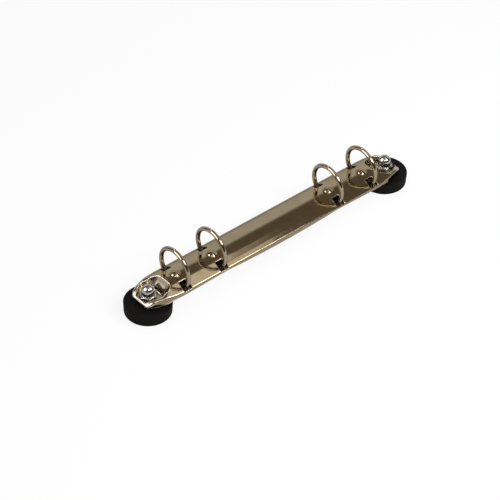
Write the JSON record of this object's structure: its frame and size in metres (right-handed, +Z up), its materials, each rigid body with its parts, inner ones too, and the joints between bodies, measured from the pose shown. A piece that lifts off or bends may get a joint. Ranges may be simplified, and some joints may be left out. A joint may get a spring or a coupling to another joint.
{
  "type": "ring binder mechanism",
  "caption": "Ring binder mechanism: arched nickel plate on two round rubber-coated magnet feet, with rings that open down the middle.",
  "frame": {"origin": "on the plane the feet stand on, under the middle of the mechanism", "axes": "+X along the row of rings, +Y to the rear, +Z up; rings closed"},
  "size_m": [0.1644, 0.022, 0.0268],
  "materials": {
    "nickel_plate": "bright warm nickel plating on pressed sheet",
    "nickel_wire": "bright nickel-plated wire",
    "zinc_sheet": "plain zinc-plated sheet",
    "nut_chrome": "bright plating, cooler than the plate",
    "stud_steel": "zinc-plated steel",
    "pot_steel": "zinc-plated steel",
    "magnet_metal": "dull nickel-plated magnet",
    "black_rubber": "soft matt black rubber coating"
  },
  "bodies": {
    "base": {"top_plate": "nickel_plate", "left_foot_cover": "black_rubber", "left_foot_pot": "pot_steel", "left_foot_magnet": "magnet_metal", "left_foot_stud": "stud_steel", "left_cap_nut": "nut_chrome", "right_foot_cover": "black_rubber", "right_foot_pot": "pot_steel", "right_foot_magnet": "magnet_metal", "right_foot_stud": "stud_steel", "right_cap_nut": "nut_chrome"},
    "front_leaf": {"front_carrier": "zinc_sheet", "front_ring_1": "nickel_wire", "front_ring_2": "nickel_wire", "front_ring_3": "nickel_wire", "front_ring_4": "nickel_wire"},
    "rear_leaf": {"rear_carrier": "zinc_sheet", "rear_ring_1": "nickel_wire", "rear_ring_2": "nickel_wire", "rear_ring_3": "nickel_wire", "rear_ring_4": "nickel_wire"}
  },
  "joints": [
    {"name": "front_hinge", "type": "hinge", "parent": "base", "child": "front_leaf", "pos_m": [0, -0.00835, 0.0093], "axis": [1, 0, 0], "range_deg": [0, 20]},
    {"name": "rear_hinge", "type": "hinge", "parent": "base", "child": "rear_leaf", "pos_m": [0, 0.00835, 0.0093], "axis": [1, 0, 0], "range_deg": [-20, 0]}
  ],
  "couplings": [
    {"joint": "rear_hinge", "follows": "front_hinge", "ratio": -1}
  ]
}
